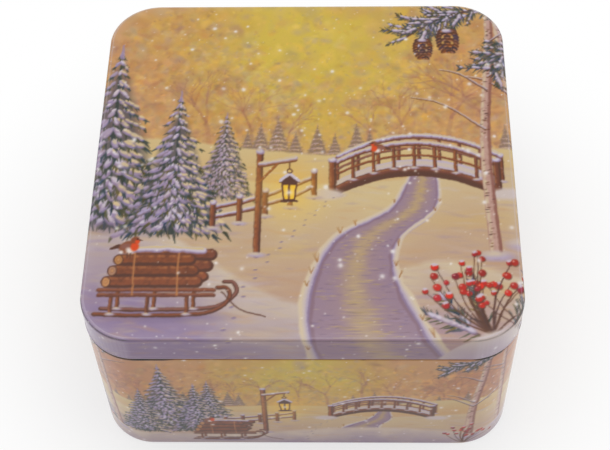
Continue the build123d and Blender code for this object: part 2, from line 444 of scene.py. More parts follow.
def post(art, x, y, height, width, snow=0.0):
    """A weathered post with its foot in a mound, and perhaps a cap of snow."""
    art = art.placed(x, y, width)
    tall, snow = height / width, snow / width
    art.coats(
        np.array([(0, 0), (0, tall)]), 1,
        (0, 0, 1, DARK_BARK, 0.97, 0.35),
        (-0.14, 0, 0.6, art.tint(BARK), 0.95, 0.4, 0.5),
        (-0.3, 0, 0.2, PALE_WOOD, 0.7, 0.3, 0.9),
    )
    if snow:
        art.dab(0, tall + 0.1 * snow, 1.5, 1.2 * snow, 0, LILAC, 1, 0.3)
        art.dab(-0.08, tall + 0.25 * snow, 1.3, snow, 0, art.tint(SNOW, 0.02), 1, 0.4)
        art.dab(-0.25, tall + 0.4 * snow, 0.6, 0.5 * snow, 0, CREAM, 0.8, 0.7)
    mound(art, 0, 0, 3.2)


def fence(art, points, height, gap):
    """Split rails between posts, following the ground through the points."""
    ground = curve(points, 20)
    along = walked(ground)
    stops = np.arange(0, along[-1], gap)
    feet = np.column_stack([np.interp(stops, along, side) for side in ground.T])
    for share in (0.4, 0.78):
        for ends in zip(feet, feet[1:]):
            wobble = art.spread(-0.04, 0.04) * np.array([(0, 1), (0, -1)])
            plank(art, ends + height * (wobble + (0, share)), 0.13 * height, BARK, 0.13 * height)
    for x, y in feet:
        post(art, x, y, height * art.spread(0.98, 1.08), 0.18 * height, 0.2 * height)


def footbridge(art, x, y, length):
    """An arched timber footbridge with railings and snow on everything."""
    art = art.placed(x, y, length)
    along = np.linspace(-1, 1, 25)
    arch = np.column_stack([0.5 * along, 0.16 * (1 - along**2)])
    far = arch + (0.03, 0.055)
    for line, colour in ((far, DUSK), (arch, BARK)):
        if line is arch:
            art.shape(np.vstack([far, arch[::-1]]), mix(SNOW, LILAC, 0.25), 0.98, 0.5)
            art.stroke(0.5 * (far + arch), 0.03, HEAPED, 0.7, 0.8)
            art.shape(np.vstack([arch, arch[::-1] - (0, 0.075)]), DARK_BARK, 0.98, 0.5)
            plank(art, arch - (0, 0.022), 0.038)
        for px, py in line[::3]:
            post(art, px, py - 0.01, 0.1734, 0.022)
        plank(art, line + (0, 0.085), 0.016, colour)
        plank(art, line + (0, 0.17), 0.026, colour, 0.026)
    for end in (-0.5, 0.5):
        post(art, end, -0.05, 0.255, 0.045, 0.035)
        art.dab(1.1 * end, -0.05, 0.3, 0.11, 0, mix(SNOW, CREAM, 0.3), 1)


def lamp_post(art, x, y, height, reach):
    """A timber post with an arm that a lantern hangs from."""
    art = art.placed(x, y, height)
    reach = reach / height
    post(art, 0, 0, 1, 0.055, 0.05)
    plank(art, [(0, 0.86), (reach, 0.92)], 0.035, BARK, 0.035)
    plank(art, [(0, 0.7), (0.5 * reach, 0.88)], 0.022)
    art.stroke([(0.85 * reach, 0.9), (0.85 * reach, 0.83)], 0.012, DARK_BARK)
    lantern(art, 0.85 * reach, 0.61, 0.2)


def lantern(art, x, y, size):
    """A four-paned lantern under a little roof, hanging from its ring."""
    art = art.placed(x, y, size)
    art.dab(0, 0, 5.2, 5.2, 0, LAMP, 0.6, 1, 1.8)
    art.shape([(-0.32, 0.42), (0.32, 0.42), (0.24, -0.5), (-0.24, -0.5)], DARK_BARK)
    for side in (-1, 1):
        art.shape(np.array([(0.04, 0.3), (0.25, 0.3), (0.18, -0.4), (0.04, -0.4)]) * (side, 1), LAMP)
    art.dab(0, -0.08, 0.6, 0.6, 0, WHITE, 0.95, 1, 1.8)
    art.shape([(-0.42, 0.42), (0, 0.85), (0.42, 0.42)], DARK_BARK)
    art.stroke([(-0.36, 0.52), (0, 0.86), (0.36, 0.52)], 0.14, SNOW)
    art.stroke([(-0.3, -0.5), (0.3, -0.5)], 0.1, DARK_BARK)
    art.stroke([toward(turn, 0.1) + (0, 1) for turn in np.linspace(0, TAU, 13)], 0.05, DARK_BARK)


def log(art, x, y, length, radius):
    """A cut log lying on its side, its pale end towards the left."""
    art = art.placed(x, y, radius)
    art.coats(
        np.array([(0, 0), (length / radius, 0)]), 1,
        (0, 0, 2, DARK_BARK, 1, 0.4),
        (0, 0.2, 1.4, art.tint(BARK), 0.95, 0.5, 0.6),
        (0, 0.6, 0.4, PALE_WOOD, 0.6, 0.4, 1),
    )
    art.dab(-0.2, 0, 1.45, 2, 0, DARK_BARK, 1, 0.15)
    art.dab(-0.25, 0, 1.25, 1.75, 0, art.tint(mix(PALE_WOOD, PEACH, 0.5)), 1, 0.25)
    art.dab(-0.25, 0, 0.75, 1.1, 0, BARK, 0.45)
    art.dab(-0.25, 0, 0.45, 0.7, 0, PEACH, 0.8)


def sledge(art, x, y, length):
    """A wooden sledge loaded with firewood, its runners curling up in front (to the right)."""
    art = art.placed(x, y, length)
    art.dab(0.03, -0.02, 1.25, 0.15, 0, mix(SHADE, LILAC, 0.4), 0.85, 0.8)
    run = curve([(-0.5, 0), (-0.2, -0.01), (0.25, 0), (0.42, 0.04), (0.52, 0.14), (0.5, 0.23), (0.43, 0.24)])
    for shift, colour in ((0.05, DUSK), (0.0, BARK)):
        art.coats(run + shift, 1, (0, 0, 0.035, DARK_BARK, 1, 0.35), (0, 0.006, 0.018, colour, 0.95))
        for u in (-0.38, -0.1, 0.2):
            post(art, u + shift, shift, 0.17, 0.03)
    for v in (0.17, 0.215):
        plank(art, [(-0.48, v), (0.4, v)], 0.035)
    radius = 0.058
    for row in range(3):
        v = 0.288 + 1.75 * radius * row
        log(art, -0.3 + 0.03 * row, v + 0.8 * radius, 0.6, radius * art.spread(0.85, 1.0))
        log(art, -0.42 + 0.04 * row, v, 0.68 - 0.07 * row, radius * art.spread(0.9, 1.1))
    for u in (-0.22, 0.12):
        art.stroke(curve([(u, 0.17), (u - 0.01, 0.462), (u, 0.5896)]), 0.014, PALE_WOOD, 0.9)
    top = curve([(-0.28, 0.578), (0, 0.5896), (0.3, 0.5722)])
    art.coats(
        top, 0.0522,
        (0, 0, 1, LILAC, 0.95, 0.5),
        (0, 0.22, 0.8, SNOW, 0.97, 0.5),
        (-0.1, 0.4, 0.35, CREAM, 0.9, 0.5),
        widths=art.rng.uniform(0.75, 1.2, len(top)),
    )
    art.stroke(curve([(0.46, 0.2), (0.6, 0.05), (0.8, -0.02)]), 0.012, DARK_BARK, 0.8)


def robin(art, x, y, size, facing=1):
    """A small round bird with a red breast."""
    art = art.placed(x, y, size, facing)
    art.stroke([(-0.45, 0.05), (-0.85, -0.08)], (0.26, 0.12), DARK_BARK)
    art.dab(0, 0, 1.05, 0.8, 0.35, BARK, 1, 0.25)
    art.dab(-0.12, 0.06, 0.7, 0.42, 0.2, DUSK, 0.9)
    art.dab(0.1, -0.18, 0.6, 0.46, 0, WHITE, 0.9, 0.6)
    art.dab(0.3, 0.02, 0.5, 0.62, 0, BREAST, 1, 0.4)
    art.dab(0.3, 0.42, 0.5, 0.46, 0, BARK, 1, 0.3)
    art.dab(0.4, 0.32, 0.3, 0.32, 0, BREAST)
    art.dab(0.4, 0.46, 0.09, 0.09, 0, (0.05, 0.04, 0.04), 1, 0.2)
    art.stroke([(0.52, 0.42), (0.68, 0.39)], (0.1, 0.03), DARK_BARK, 1, 0.2)
    for u in (-0.02, 0.14):
        art.stroke([(u, -0.34), (u, -0.6)], 0.05, DARK_BARK, 1, 0.2)


def needles(art, x, y, angle, length):
    """A fir sprig: a stem with needles both sides and snow lying along the top."""
    art = art.placed(x, y, length)
    stem = toward(angle)
    art.stroke([(0, 0), stem], (0.06, 0.03), DARK_BARK, 0.95)
    for _ in range(34):
        share = art.rng.random()
        lean = angle + art.rng.choice((-1, 1)) * art.spread(0.45, 0.95)
        long = 0.26 * (1.15 - 0.6 * share) * art.spread(0.8, 1.2)
        tone = (PINE, MOSS, mix(PINE, SHADE, 0.5))[art.rng.integers(3)]
        foot = share * stem
        art.stroke([foot, foot + toward(lean, long)], (0.045, 0.012), art.tint(tone, 0.1), 0.92, 0.25)
    for _ in range(7):
        u, v = art.spread(0.05, 0.95) * stem + (0, 0.05)
        wide = art.spread(0.14, 0.3)
        art.dab(u, v - 0.03, wide, 0.5 * wide, angle, art.tint(LILAC, 0.03), 0.85)
        art.dab(u - 0.01, v, 0.85 * wide, 0.4 * wide, angle, art.tint(SNOW, 0.03), 0.95)


def bough(art, points, sprig, count):
    """A hanging branch thick with sprigs and snow."""
    line = curve(points, 10)
    art.stroke(line, sprig * np.linspace(0.14, 0.05, len(line)), DARK_BARK, 0.95, 0.4)
    for _ in range(count):
        k = art.rng.integers(0, len(line) - 1)
        right, up = line[k + 1] - line[k]
        heading = np.arctan2(up, right) + art.rng.choice((-1, 1)) * art.spread(0.15, 1.1)
        needles(art, *line[k], heading, sprig * art.spread(0.6, 1.1))


def cone(art, x, y, size):
    """A hanging pine cone with a dab of snow on its shoulder."""
    art = art.placed(x, y, size)
    for row in range(8):
        v = 0.5 - row / 7
        half = 0.32 * np.sqrt(np.clip(1 - (1.5 * (v - 0.08)) ** 2, 0.06, 1))
        for u in np.linspace(-1, 1, 4 if row % 2 else 3):
            art.dab(u * half, v, 0.3, 0.2, -0.7 * u, art.tint(DARK_BARK, 0.1), 1, 0.25)
            art.dab(u * half, v - 0.05, 0.2, 0.07, -0.7 * u, art.tint(PALE_WOOD, 0.1), 0.85, 0.4)
    art.dab(0, 0.5, 0.5, 0.22, 0, LILAC, 0.95)
    art.dab(-0.04, 0.54, 0.42, 0.17, 0, SNOW, 0.95)


def berries(art, x, y, size, count, spread):
    """A spray of twigs that rise from one root, each with red berries along it and a little snow."""
    art = art.placed(x, y, size)
    for _ in range(count):
        angle = TAU / 4 + art.rng.normal(0, 0.55)
        long = spread / size * art.spread(0.55, 1.15)
        twig = curve([(0, 0), toward(angle + 0.15, 0.5 * long), toward(angle, long)], 6)
        art.stroke(twig, np.linspace(0.28, 0.1, len(twig)), art.tint(DARK_BARK), 0.85, 0.25)
        for k in range(art.rng.integers(1, 4)):
            berry = art.placed(*(twig[-1 - 2 * k] + art.rng.normal(0, 0.3, 2)), art.spread(0.8, 1.15))
            berry.dab(0.06, -0.1, 1.1, 1.1, 0, DARK_BARK, 0.8, 0.3)
            berry.dab(0, 0, 1, 1, 0, art.tint(RED, 0.1), 1, 0.25)
            berry.dab(-0.16, 0.16, 0.35, 0.35, 0, mix(RED, WHITE, 0.6), 0.9, 0.6)
            if art.rng.random() < 0.4:
                berry.dab(0, 0.36, 0.95, 0.5, 0, SNOW, 0.95, 0.4)


def stream(art, banks, streaks, size=1.0):
    """A half-frozen stream between two banks, lilac in shade and gold where it mirrors the sky."""
    left, right = (curve(bank, 12) for bank in banks)
    outline = np.vstack([left, right[::-1]])
    low, high = outline[:, 1].min(), outline[:, 1].max()
    art.shape(outline, mix(mix(SHADE, LILAC, 0.7), PEACH, 0.18), 1, 1.2 * size)

    def water(y):
        """Its left shore, its width, and how near it is, from 0 far off to 1 at the front."""
        start, end = (np.interp(y, *bank[np.argsort(bank[:, 1])].T[::-1]) for bank in (left, right))
        return start, end - start, 1 - (y - low) / (high - low)

    for y in np.arange(low, high, 0.7 * size):
        start, wide, near = water(y)
        dull, bright = mix(AMBER, LILAC, 0.3 + 0.5 * near), mix(GOLD, CREAM, 0.3 + 0.4 * near)
        for share, tone in ((0.85, dull), (0.4, bright)):
            x = start + 0.5 * wide + art.spread(-1, 1) * size
            art.dab(x, y, wide * share, 1.8 * size, 0, tone, 0.32, 0.95)
    for _ in range(streaks):
        y = low + (high - low) * art.rng.random()
        start, wide, near = water(y)
        across = art.spread(0.06, 0.94)
        middle = 1 - abs(2 * across - 1)
        long = wide * art.spread(0.08, 0.35) * (0.3 + 0.7 * middle)
        tones = (GOLD, CREAM) if art.rng.random() < 0.75 * middle else (LILAC, SHADE, SHADE)
        tone = tones[art.rng.integers(len(tones))]
        thick = size * (0.25 + 0.7 * near) * art.spread(0.5, 1.2)
        art.dab(start + across * wide, y, long, thick, art.spread(-0.04, 0.04), art.tint(tone), 0.45, 0.9)
    for bank, side in zip(banks, (-1, 1)):
        line = curve(bank, 24)
        shore(art, line, side, 1 - (line[:, 1] - low) / (high - low), size)


def shore(art, line, side, near, size):
    """One bank of a stream: shaded water, a lip of snow that swells and thins, and a little dry grass."""
    knots = np.arange(0, len(line) + 6, 6)
    swell = np.interp(np.arange(len(line)), knots, art.rng.uniform(0.7, 1.35, len(knots)))
    wide = (0.8 + 3.4 * near) * swell * size
    for out, up, share, colour, alpha, soft in (
        (-0.30, -0.30, 1.0, mix(SHADE, DUSK, 0.45), 0.5, 1.0),
        (0.10, -0.12, 1.0, mix(LILAC, SHADE, 0.35), 0.9, 0.5),
        (0.32, 0.06, 0.95, mix(LILAC, SNOW, 0.55), 0.95, 0.6),
        (0.52, 0.24, 0.8, mix(SNOW, CREAM, 0.35), 0.9, 1.0),
        (0.70, 0.36, 0.45, mix(CREAM, WHITE, 0.25), 0.7, 1.2),
    ):
        art.stroke(line + np.outer(wide, (side * out, up)), share * wide, colour, alpha, soft * size)
    for k in range(0, len(line), 7):
        if art.rng.random() < 0.4:
            long = art.spread(2.5, 5.5) * size * (0.4 + near[k])
            foot = line[k] + wide[k] * np.array((0.5 * side, 0.1))
            for _ in range(5):
                tip = foot + toward(TAU / 4 + art.spread(-0.5, 0.5), long)
                art.stroke([foot, tip], (0.35 * size, 0.12 * size), art.tint(mix(BARK, AMBER, 0.35)), 0.75)


def footprints(art, points, stride, size):
    """A trail of small hollows in the snow, each with a lit far edge."""
    path = curve(points, 24)
    along = walked(path)
    side, step = -1, 0.0
    while step < along[-1]:
        share = 1 - 0.6 * step / along[-1]
        foot = art.placed(*(np.interp(step, along, line) for line in path.T), size * share)
        foot.dab(0.5 * side, 0, 1, 0.5, 0.2, mix(SHADE, LILAC, 0.4), 0.7)
        foot.dab(0.5 * side, 0.28, 1, 0.2, 0.2, CREAM, 0.6, 0.6)
        side = -side
        step += stride * share


def snow_texture(art, count, low, high, size):
    """Broad touches that break up the snow, lilac in the hollows and cream on the crests."""
    for _ in range(count):
        x, y = art.spread(art.x[0], art.x[-1]), art.spread(low, high)
        under = art.under(x, y)
        if under is None:
            continue
        colour = mix(under, (LILAC, CREAM, SNOW, PEACH)[art.rng.integers(4)], art.spread(0.15, 0.5))
        length, width = size * art.spread(1.5, 6), size * art.spread(0.25, 0.9)
        art.dab(x, y, length, width, art.spread(-0.25, 0.15), colour, 0.55, 0.9)


def snowfall(art, count, size):
    """Soft flakes drifting over everything, most of them small."""
    for _ in range(count):
        x, y = art.spread(art.x[0], art.x[-1]), art.spread(art.y[0], art.y[-1])
        flake = art.placed(x, y, size * (0.35 + 1.5 * art.rng.random() ** 4))
        flake.dab(0, 0, 1.8, 1.8, 0, WHITE, 0.22, 1)
        flake.dab(0, 0, 1, 1, 0, WHITE, art.spread(0.55, 0.95), 0.75)


def as_printed(art, wander, contrast, saturation, tint=(1, 1, 1)):
    """Shifts the paint by up to wander mm, so that edges look hand-drawn, and grades it as inks would."""
    rows = np.arange(art.rows)[:, None] + (art.noise(2.2, 3) - 0.5) * 2 * wander * art.fineness
    columns = np.arange(art.columns)[None, :] + (art.noise(2.2, 3) - 0.5) * 2 * wander * art.fineness
    art.rgb = art.at(rows, columns)
    level = art.rgb.mean(-1, keepdims=True)
    vivid = level + saturation * (art.rgb - level)
    art.rgb = np.clip(tint * (MIDDLE_TONE + contrast * (vivid - MIDDLE_TONE)), 0.02, 1)
    return art


# ------------------------------------------------------------------ the two pictures
SNOWY = mix(CREAM, SNOW, 0.5)
FAR_SNOW = (CREAM, mix(CREAM, PEACH, 0.6))  # lit and shaded
MIDDLE_SNOW = (mix(CREAM, SNOW, 0.1), mix(PEACH, LILAC, 0.45))


def paint_lid():
    """The lid's picture, skirt and all: a sledge, a lamp and a footbridge in golden evening woods."""
    art = Canvas(-112, 112, -112, 112, PAINT_FINENESS, 7)
    sky(art, 0, 112, (4,), 66, 64)
    for woods in (
        (-116, 116, 30, 110, 1800, 9.0),
        (-116, 0, 2, 100, 3200, 5.0),
        (26, 118, 0, 92, 2800, 5.0),
        (-60, 90, 4, 40, 1300, 3.5),
        (-116, 116, 40, 76, 1500, 2.2),
    ):
        leafy_haze(art, *woods)
    for x, height in ((30, 36), (44, 50), (66, 64), (84, 76), (104, 66), (-8, 34), (-24, 46), (-44, 56)):
        bare_tree(art, x, 5, height, mix(ROSE, DUSK, 0.5), 0.32)
    leafy_haze(art, -116, 116, 4, 60, 900, 3.0)
    for x, height in (
        (-26, 14), (-20, 18), (-12, 22), (-4, 13), (6, 17), (14, 12), (24, 18), (30, 14), (100, 22), (92, 17)
    ):
        fir(art, x, 3, height, 0.6)
    for ridge, lit, shade, depth, soft in (
        ([(-116, 8), (-70, 12), (-25, 6), (20, 2), (60, 7), (116, 4)], *FAR_SNOW, 30, 1.5),
        ([(-116, -4), (-60, -6), (-10, -14), (40, -12), (80, -6), (116, -10)], *MIDDLE_SNOW, 80, 1.5),
        ([(40, -60), (58, -55), (76, -57), (96, -64), (120, -62)],
         mix(CREAM, SNOW, 0.35), mix(LILAC, PEACH, 0.4), 34, 2.5),
        ([(-116, -30), (-84, -31), (-60, -40), (-38, -56), (-16, -71), (8, -80)],
         SNOWY, mix(LILAC, SHADE, 0.2), 46, 3),
    ):
        hill(art, ridge, lit, shade, depth, soft)
    for x, y, wide in ((74, -34, 62), (-8, -50, 44), (84, -70, 50), (-98, -40, 40), (-20, -92, 40)):
        art.dab(x, y, wide, 0.24 * wide, 0.03, mix(AMBER, CREAM, 0.4), 0.4, 1)
    snow_texture(art, 900, -112, 0, 3.0)
    snow_texture(art, 500, -112, -40, 4.5)
    left_bank = [(50, -5), (46, -14), (38, -28), (16, -42), (6, -60), (2, -84), (8, -118)]
    right_bank = [(58, -5), (60, -14), (58, -28), (42, -44), (40, -62), (50, -86), (66, -118)]
    stream(art, (left_bank, right_bank), 700)
    footbridge(art, 50, -16, 74)
    footprints(art, [(-34, -116), (-30, -84), (-18, -58), (0, -36), (14, -20)], 7.0, 3.6)
    fir(art, -36, -20, 46, 0.15)
    fir(art, -88, -34, 100)
    fir(art, -58, -38, 76)
    fence(art, [(-40, -38), (-24, -34), (-4, -26), (12, -17)], 14, 12)
    lamp_post(art, -20, -52, 56, 16)
    sledge(art, -60, -82, 56)
    robin(art, -76, -48, 9)
    robin(art, 34, 6, 7, -1)
    birch(art, 98, -46, 170, 7, -6)
    birch(art, 84, -52, 175, 5.5, 5)
    bough(art, [(118, 102), (92, 94), (66, 86), (46, 72)], 16, 60)
    bough(art, [(118, 78), (100, 68), (86, 52)], 14, 30)
    cone(art, 68, 71, 13)
    cone(art, 56, 66, 11)
    for x, y, angle, length in (
        (72, -90, 2.2, 22), (78, -88, 1.8, 24), (90, -86, 1.1, 24),
        (100, -88, 1.7, 26), (74, -92, 2.7, 24), (92, -92, 0.6, 22),
    ):
        needles(art, x, y, angle, length)
    berries(art, 80, -92, 3.4, 20, 36)
    berries(art, 97, -90, 3.0, 11, 32)
    drift = [(50, -122), (60, -106), (70, -95), (84, -89), (100, -87), (120, -84)]
    hill(art, drift, mix(SNOW, CREAM, 0.35), mix(LILAC, SNOW, 0.45), 26, 2.0)
    # painted shade on the front skirt, darker towards its hem
    art.lay(0.2 * np.clip((-92 - art.y) / 10, 0, 1)[:, None], mix(SHADE, DUSK, 0.3))
    snowfall(art, 620, 1.7)
    return as_printed(art, 0.3, 1.12, 1.15)


def paint_wall():
    """The wall's picture, right round the tin: the same woods with firs, lamps, bridges and sledges."""
    quarter = WALL_PICTURE / 4
    start, end = -20, WALL_PICTURE + 20
    art = Canvas(0, WALL_PICTURE, 0, 82, PAINT_FINENESS, 11)
    sky(art, 40, 84, [quarter * k for k in range(5)], 74, 40)
    leafy_haze(art, start, end, 46, 50, 2400, 6.5)
    leafy_haze(art, start, end, 40, 36, 9000, 3.2)
    for x in np.arange(4, WALL_PICTURE, 13.0):
        bare_tree(art, x + art.spread(-5, 5), 40, art.spread(20, 38), mix(ROSE, DUSK, 0.6), 0.36)
    leafy_haze(art, start, end, 40, 20, 3000, 2.4)
    for x in np.arange(0, WALL_PICTURE, 9.0):
        if art.rng.random() < 0.7:
            fir(art, x + art.spread(-4, 4), 39, art.spread(7, 14), 0.55)
    places = np.arange(start, end + 20, 20.0)

    def rolling(height, swell, length, ripple, ripple_length, *snow, shift=0):
        waves = swell * np.sin(places / length + shift) + ripple * np.sin(places / ripple_length)
        hill(art, np.column_stack([places, height + waves]), *snow)

    rolling(40, 3, 31, 1.5, 13, *FAR_SNOW, 12, 1.0)
    rolling(32, 3, 43, 1.5, 17, *MIDDLE_SNOW, 34, 1.0, shift=2)
    snow_texture(art, 1800, 0, 36, 2.2)
    for face in range(5):
        x = face * quarter + (-26 if face % 2 else 34)
        left_bank = np.array([(0, 36), (-1, 31), (-5, 25), (-16, 17), (-20, 8), (-22, -4)]) + (x, 0)
        widths = np.array((4, 6, 10, 16, 24, 34))
        stream(art, (left_bank, left_bank + np.outer(widths, (1, 0))), 240, 0.5)
        footbridge(art, x + 1, 29, 46)
    rolling(11, 4, 57, 2, 19, SNOWY, mix(LILAC, SHADE, 0.25), 22, 2.5, shift=1)
    snow_texture(art, 900, 0, 16, 2.2)
    for face in range(5):
        middle = face * quarter
        side = -1 if face % 2 else 1
        for away, foot, height in ((-40, 24, 34), (-62, 20, 52), (-50, 15, 44), (-74, 14, 40)):
            x = middle + side * (away + art.spread(-3, 3))
            fir(art, x, foot, height * art.spread(0.95, 1.08), 0.0, side)
        rails = [(-44, 17), (-30, 19), (-14, 22), (2, 25)]
        fence(art, sorted((middle + side * x, y) for x, y in rails), 9, 8)
        lamp_post(art, middle + (-2 if face % 2 else -18), 12, 42, 11)
        footprints(art, [(middle - 4, -4), (middle + 2, 8), (middle + 6, 18), (middle + 14, 26)], 3.6, 1.9)
        if face % 2:
            robin(art, middle + 30, 31.4, 4.5, -1)
            berries(art, middle + 20, 1, 2.2, 14, 19)
            mound(art, middle + 20, -1, 22)
        else:
            sledge(art, middle - 36, 5, 32)
            robin(art, middle - 44, 24, 5)
    for corner in np.arange(0.5, 4.5) * quarter:
        birch(art, corner - 14, 8, 84, 4.4, 5)
        birch(art, corner + 2, 10, 80, 3.4, -3)
        bough(art, [(corner + 6, 86), (corner - 12, 80), (corner - 28, 70)], 9, 34)
        berries(art, corner - 16, 1, 2.0, 12, 16)
        mound(art, corner - 16, -1, 20)
    snowfall(art, 1000, 1.2)
    return as_printed(art, 0.2, 1.2, 1.1, (0.98, 0.975, 1.01))


# ------------------------------------------------------------------ sheet metal
class Strip:
    """A sheet's middle line as rows of (inset from the lid's skirt, height), walked through flats and bends.

    A move is (length, 0) for a flat or (radius, degrees) for a bend, which goes left where it is positive.
    A bend takes steps of about 10 degrees, and the move whose number is fine takes steps of the print's
    pitch. normal points to the left of the walk, and move says which move each row ends.
    """

    def __init__(self, start, heading, moves, fine=None):
        point, angle = np.array(start, float), math.radians(heading)
        rows = [(point, angle, 0)]
        for number, (size, degrees) in enumerate(moves):
            turn = abs(math.radians(degrees))
            count = max(3, int(abs(degrees) / 10)) if turn else 1
            if number == fine:
                count = max(count, int(round(size * (turn or 1) / PRINT_PITCH)))
            length = 2 * size * math.sin(turn / count / 2) if turn else size / count
            turn = math.radians(degrees) / count
            for _ in range(count):
                point = point + toward(angle + turn / 2, length)
                angle += turn
                rows.append((point, angle, number))
        self.middle, angles, self.move = (np.array(column) for column in zip(*rows))
        self.normal = np.stack([-np.sin(angles), np.cos(angles)], 1)

    def face(self, side):
        """The rows of the left (1) or right (-1) face, with their outward normals."""
        return self.middle + side * HALF_SHEET * self.normal, side * self.normal


class Plan:
    """Places round the rounded square, each with a core point and the outward way of its side or corner."""

    def __init__(self, core, outward):
        self.core, self.outward = core, outward

    def corner_share(self):
        """How much a place lies in a corner, for the painted sheen and shade and the chips there: 0 on the
        straight sides, about 1 in the corners.
        """
        turn = np.arctan2(self.outward[:, 1], self.outward[:, 0])
        off_axis = np.abs((turn + TAU / 8) % (TAU / 4) - TAU / 8)
        # streaks in the corners' painted sheen
        streaks = 0.8 + 0.12 * np.sin(73 * turn) + 0.08 * np.sin(167 * turn + 1)
        return ease(off_axis / math.radians(9)) * streaks

    def spread(self, reach):
        """The places pushed out from their cores by reach, which may differ from place to place."""
        return self.core + self.outward * np.reshape(reach, (-1, 1))

    def rings(self, rows, dents=0.0):
        """Every row of a profile carried round the plan. dents pushes places in, row by row."""
        insets = np.broadcast_to(rows[:, :1] + dents, (len(rows), len(self.core)))
        return np.concatenate([
            np.column_stack([self.spread(CORNER_RADIUS - inset), np.full(len(inset), height)])
            for inset, height in zip(insets, rows[:, 1])
        ])

    def directions(self, normals):
        """The rows' normals carried round the plan."""
        return np.concatenate([
            np.column_stack([-inward * self.outward, np.full(len(self.outward), up)])
            for inward, up in normals
        ])


def spaced(start, end, length):
    """Values from start to end, for places a print's pitch apart along a length."""
    return np.linspace(start, end, int(round(length / PRINT_PITCH)) + 1)


SIDE = spaced(-STRAIGHT, STRAIGHT, 2 * STRAIGHT)  # places along a side's straight stretch, from its middle
TURN = spaced(0, TAU / 4, CORNER_RADIUS * TAU / 4)[1:]  # angles round a corner, after the first


def lid_lattice(inset):
    """The flat top as a lattice of points: its points, cells, edge vertices, and the plan of that edge."""
    share = spaced(-1, 1, 2 * HALF_WIDTH)
    angles = np.concatenate([-TURN[::-1], 0 * SIDE, TURN])[:, None]
    cores = np.concatenate([0 * TURN - STRAIGHT, SIDE, 0 * TURN + STRAIGHT])[:, None]
    radius = CORNER_RADIUS - inset
    rows, columns = len(angles), len(share)
    points = np.empty((rows, columns, 3))
    points[..., 0] = (STRAIGHT + radius * np.cos(angles)) * share
    points[..., 1] = cores + radius * np.sin(angles)
    points[..., 2] = TOP
    core, outward = np.empty((rows, columns, 2)), np.empty((rows, columns, 2))
    core[..., 0], core[..., 1] = STRAIGHT * np.sign(share), cores
    outward[..., 0], outward[..., 1] = np.cos(angles) * np.sign(share), np.sin(angles)
    for row, side in ((0, -1), (-1, 1)):
        core[row, :, 0], outward[row] = STRAIGHT * share, (0, side)
    index = np.arange(rows * columns).reshape(rows, columns)
    edge = np.concatenate([index[0, :-1], index[:-1, -1], index[-1, :0:-1], index[:0:-1, 0]])
    cells = np.stack([index[:-1, :-1], index[:-1, 1:], index[1:, 1:], index[1:, :-1]], -1).reshape(-1, 4)
    return points.reshape(-1, 3), cells, edge, Plan(core.reshape(-1, 2)[edge], outward.reshape(-1, 2)[edge])


def wall_plan(extra):
    """Places round the wall, seen from outside left to right, from the middle of the back.

    extra holds more places on the back, as distances past its middle. Returns the plan and each place's
    distance round the wall.
    """
    back = np.unique(np.concatenate([SIDE, extra]))
    arc = TURN[:-1]
    radius = CORNER_RADIUS - WALL_INSET
    core, outward, around = [], [], []
    for quarter, places in enumerate((back[back >= 0], SIDE, SIDE, SIDE, back[back < 0])):
        out = toward(TAU / 4 * (1 + quarter))
        ahead = np.array((-out[1], out[0]))
        middle = quarter * (2 * STRAIGHT + radius * TAU / 4)
        core.append(STRAIGHT * out + np.outer(places, ahead))
        outward.append(np.tile(out, (len(places), 1)))
        around.append(middle + places)
        if quarter < 4:
            core.append(np.tile(STRAIGHT * (out + ahead), (len(arc), 1)))
            outward.append(np.outer(np.cos(arc), out) + np.outer(np.sin(arc), ahead))
            around.append(middle + STRAIGHT + radius * arc)
    return Plan(np.concatenate(core), np.concatenate(outward)), np.concatenate(around)


# ------------------------------------------------------------------ meshes
def bands(index, closed=False):
    """Quads between neighbouring rings. index holds the vertex numbers, a row for each ring."""
    lower = index if closed else index[:-1]
    upper = np.roll(index, -1, 0) if closed else index[1:]
    return np.stack([lower, np.roll(lower, -1, 1), np.roll(upper, -1, 1), upper], -1).reshape(-1, 4)


def build(name, points, normals, faces, materials, picture=None, **values):
    """A mesh object in metres. faces pairs arrays of vertex numbers with the number of their material.

    picture gives the print's display colour at each vertex, and each of the values one number there.
    """
    mesh = bpy.data.meshes.new(name)
    corners = [face for block, _ in faces for face in block.tolist()]
    mesh.from_pydata(points * MM, [], corners, shade_flat=False)
    kinds = np.concatenate([np.broadcast_to(kind, len(block)) for block, kind in faces])
    mesh.polygons.foreach_set("material_index", kinds.astype(np.int32))
    for material in materials:
        mesh.materials.append(material)
    if picture is not None:
        shown = np.clip(picture, 0, 1)
        linear = np.where(shown <= 0.04045, shown / 12.92, ((shown + 0.055) / 1.055) ** 2.4)
        colours = np.column_stack([linear, np.ones(len(points))])
        layer = mesh.color_attributes.new("picture", "FLOAT_COLOR", "POINT")
        layer.data.foreach_set("color", colours.ravel())
    for key, numbers in values.items():
        mesh.attributes.new(key, "FLOAT", "POINT").data.foreach_set("value", numbers.astype(np.float32))
    mesh.normals_split_custom_set_from_vertices(normals)
    obj = bpy.data.objects.new(name, mesh)
    bpy.context.collection.objects.link(obj)
    return obj


def uneven(places, spacing, seed):
    """Random values from 0 to 1 along a line, with a new one at every spacing and straight between."""
    values = np.random.default_rng(seed).random(int(np.ptp(places) / spacing) + 3)
    return np.interp((places - places.min()) / spacing, np.arange(len(values)), values)


def bell(where, middle, width):
    """A hump of height 1 about the middle."""
    return np.exp(-(((where - middle) / width) ** 2))


